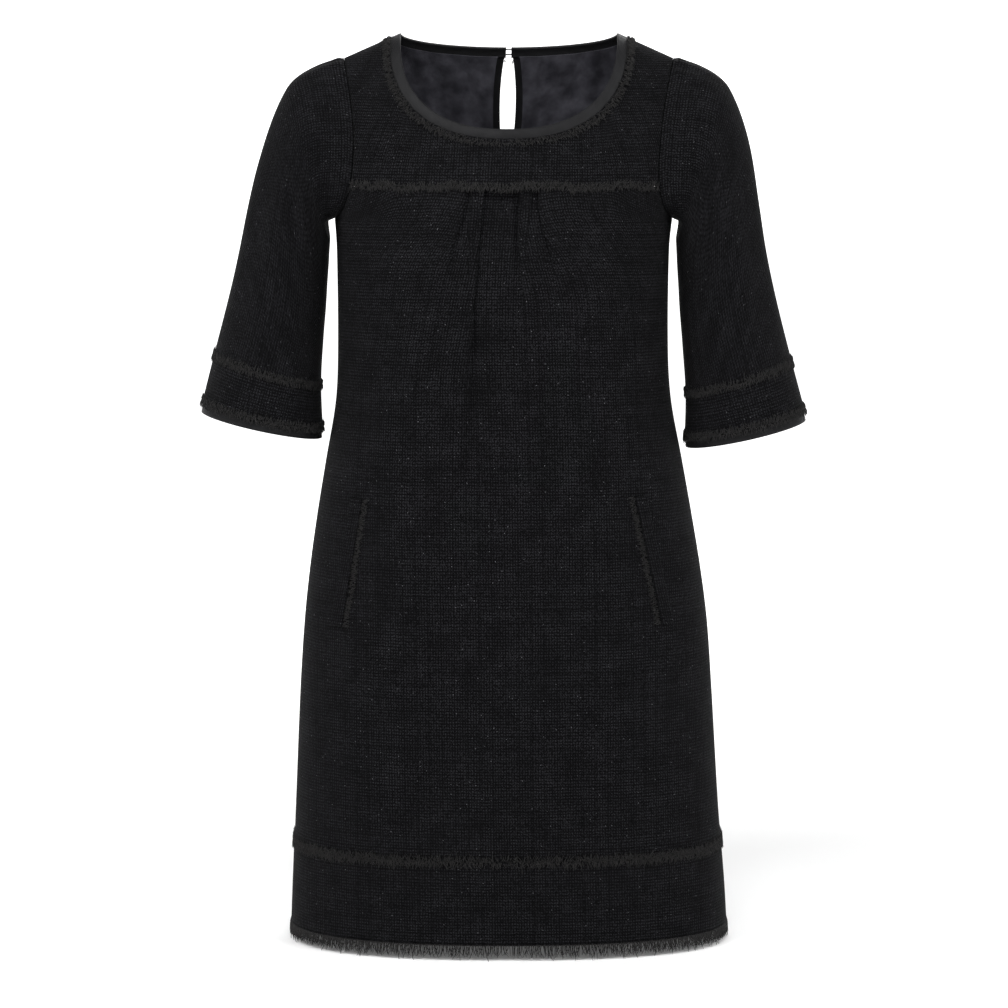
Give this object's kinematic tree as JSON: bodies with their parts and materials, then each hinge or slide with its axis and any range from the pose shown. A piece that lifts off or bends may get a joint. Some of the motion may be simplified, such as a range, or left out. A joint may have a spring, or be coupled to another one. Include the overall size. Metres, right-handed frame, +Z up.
{
  "type": "shift dress",
  "caption": "Short shift dress in dark tweed with a yoke, front pleats, elbow sleeves, welt pockets, a back keyhole and frayed trim; hollow and open as when worn.",
  "frame": {"origin": "midway between the two points where the shoulder seams meet the neck, which is where the dress hangs from on the wearer's shoulders", "axes": "+Z up along the wearer's height, -Y the dress's front, +X the wearer's left"},
  "size_m": [0.6049, 0.2568, 0.8998],
  "materials": {
    "tweed": "matt black boucle tweed with a faint grid and small glints",
    "frayed_trim": "matt black frayed threads",
    "binding": "smooth black satin, slightly lustrous",
    "lining": "smooth charcoal lining, slightly lustrous",
    "button": "polished black"
  },
  "bodies": {
    "root": {"back_left": "tweed", "back_lining_left": "lining", "back_lining_right": "lining", "back_right": "tweed", "button": "button", "button_loop": "binding", "cuff_edge_left": "lining", "cuff_edge_right": "lining", "cuff_fringe_left": "frayed_trim", "cuff_fringe_right": "frayed_trim", "cuff_left": "tweed", "cuff_right": "tweed", "cuff_seam_fringe_left": "frayed_trim", "cuff_seam_fringe_right": "frayed_trim", "front_body": "tweed", "front_yoke": "tweed", "hem_band_back": "tweed", "hem_band_front": "tweed", "hem_fringe": "frayed_trim", "hem_seam_fringe": "frayed_trim", "keyhole_binding": "binding", "neck_binding": "binding", "neck_fringe": "frayed_trim", "pocket_fringe_left": "frayed_trim", "pocket_fringe_right": "frayed_trim", "pocket_welt_left": "tweed", "pocket_welt_right": "tweed", "sleeve_left": "tweed", "sleeve_right": "tweed", "yoke_fringe": "frayed_trim"}
  },
  "joints": []
}
